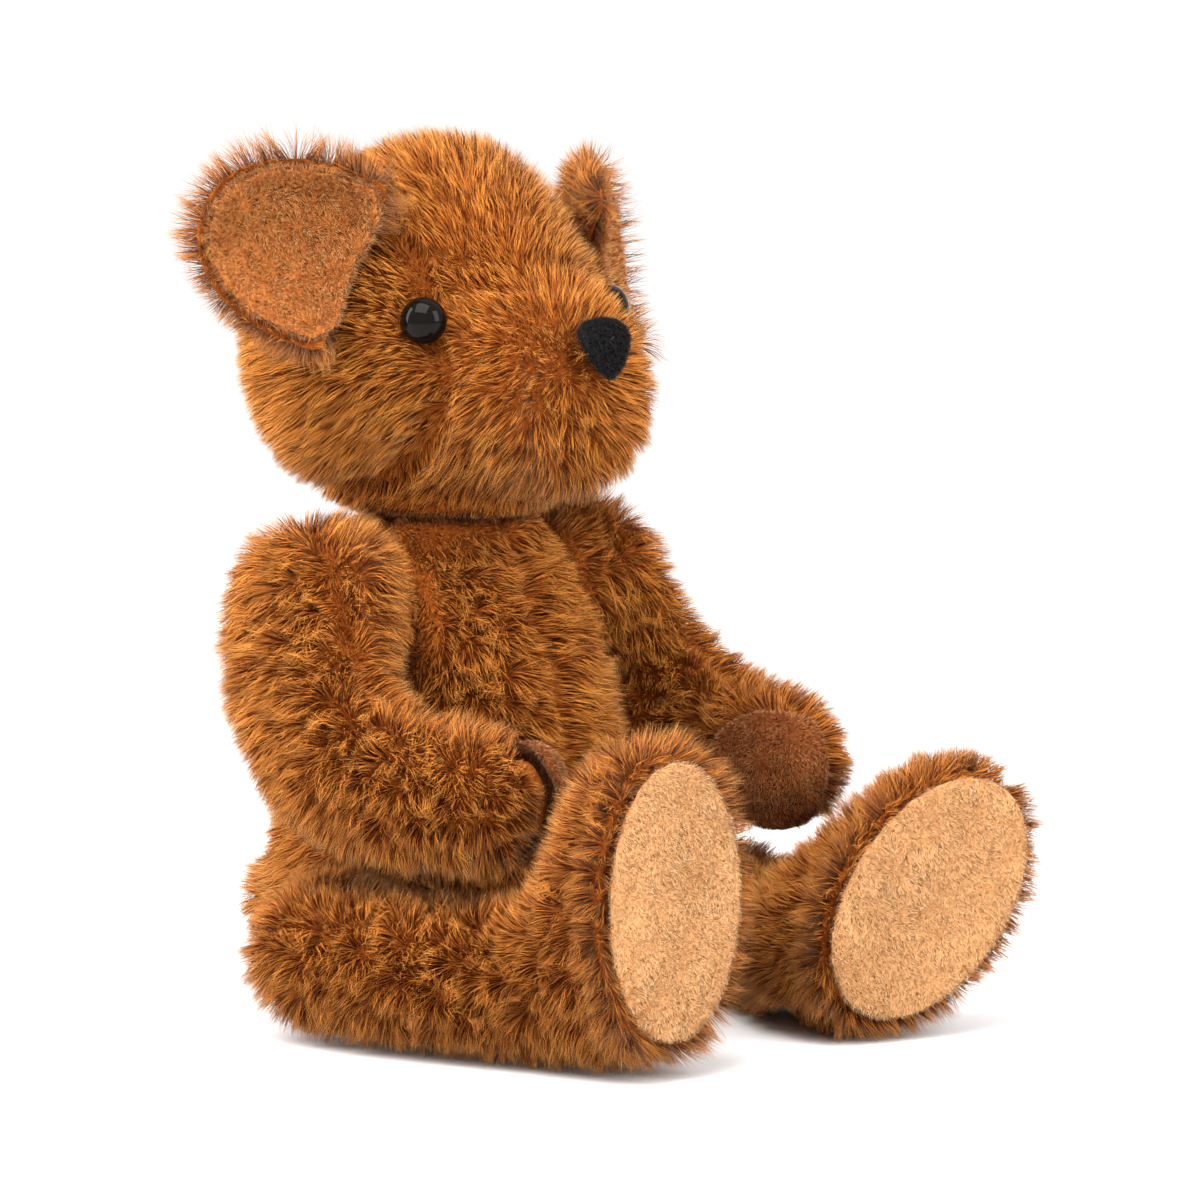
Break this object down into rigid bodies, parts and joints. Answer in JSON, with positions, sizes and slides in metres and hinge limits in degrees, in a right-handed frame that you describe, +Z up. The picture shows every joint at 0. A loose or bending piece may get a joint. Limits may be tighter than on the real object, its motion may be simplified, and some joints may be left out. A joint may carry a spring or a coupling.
{
  "type": "jointed teddy bear",
  "caption": "Seated plush teddy bear with a head that turns, arms and legs that swing on disc joints, cupped ears, glossy eyes and short-pile paw pads and soles",
  "frame": {"origin": "under the middle of the seated bear, on the surface it sits on", "axes": "+Z up, the face and the soles towards -Y, the left side of the bear towards +X"},
  "size_m": [0.2116, 0.2704, 0.293],
  "materials": {
    "fur": "long soft pile, golden brown",
    "pile": "short velvety pile, tan",
    "lining": "short curly pile, tan",
    "pad": "short pile, brown",
    "nose": "short black pile",
    "eye": "polished black",
    "filling": "loose polyester fibre",
    "hardware": "moulded"
  },
  "bodies": {
    "torso": {"body_front_left": "fur", "body_front_right": "fur", "body_back_left": "fur", "body_back_right": "fur", "body_filling": "filling", "tail_cover": "fur", "tail_filling": "filling", "neck_washer": "hardware", "shoulder_washer_left": "hardware", "shoulder_washer_right": "hardware", "hip_washer_left": "hardware", "hip_washer_right": "hardware"},
    "head": {"head_centre": "fur", "head_side_left": "fur", "head_side_right": "fur", "head_filling": "filling", "ear_back_left": "fur", "ear_back_right": "fur", "ear_lining_left": "lining", "ear_lining_right": "lining", "eye_left": "eye", "eye_right": "eye", "eye_washer_left": "hardware", "eye_washer_right": "hardware", "nose": "nose", "neck_disc": "hardware", "neck_lock_ring": "hardware"},
    "arm_left": {"arm_outer_left": "fur", "arm_inner_left": "fur", "paw_pad_left": "pad", "arm_filling_left": "filling", "shoulder_disc_left": "hardware", "shoulder_lock_ring_left": "hardware"},
    "leg_left": {"leg_outer_left": "fur", "leg_inner_left": "fur", "sole_left": "pile", "leg_filling_left": "filling", "hip_disc_left": "hardware", "hip_lock_ring_left": "hardware"},
    "arm_right": {"arm_outer_right": "fur", "arm_inner_right": "fur", "paw_pad_right": "pad", "arm_filling_right": "filling", "shoulder_disc_right": "hardware", "shoulder_lock_ring_right": "hardware"},
    "leg_right": {"leg_outer_right": "fur", "leg_inner_right": "fur", "sole_right": "pile", "leg_filling_right": "filling", "hip_disc_right": "hardware", "hip_lock_ring_right": "hardware"}
  },
  "joints": [
    {"name": "neck_turn", "type": "hinge", "parent": "torso", "child": "head", "pos_m": [-0.00181, 0.03916, 0.165], "axis": [0, 0, 1], "continuous": true},
    {"name": "shoulder_left_turn", "type": "hinge", "parent": "torso", "child": "arm_left", "pos_m": [0.03519, 0.03816, 0.138], "axis": [-1, 0, 0], "range_deg": [0, 75]},
    {"name": "hip_left_turn", "type": "hinge", "parent": "torso", "child": "leg_left", "pos_m": [0.04769, 0.02816, 0.029], "axis": [1, 0, 0], "range_deg": [0, 90]},
    {"name": "shoulder_right_turn", "type": "hinge", "parent": "torso", "child": "arm_right", "pos_m": [-0.03881, 0.03816, 0.138], "axis": [-1, 0, 0], "range_deg": [0, 75]},
    {"name": "hip_right_turn", "type": "hinge", "parent": "torso", "child": "leg_right", "pos_m": [-0.05131, 0.02816, 0.029], "axis": [1, 0, 0], "range_deg": [0, 90]}
  ]
}
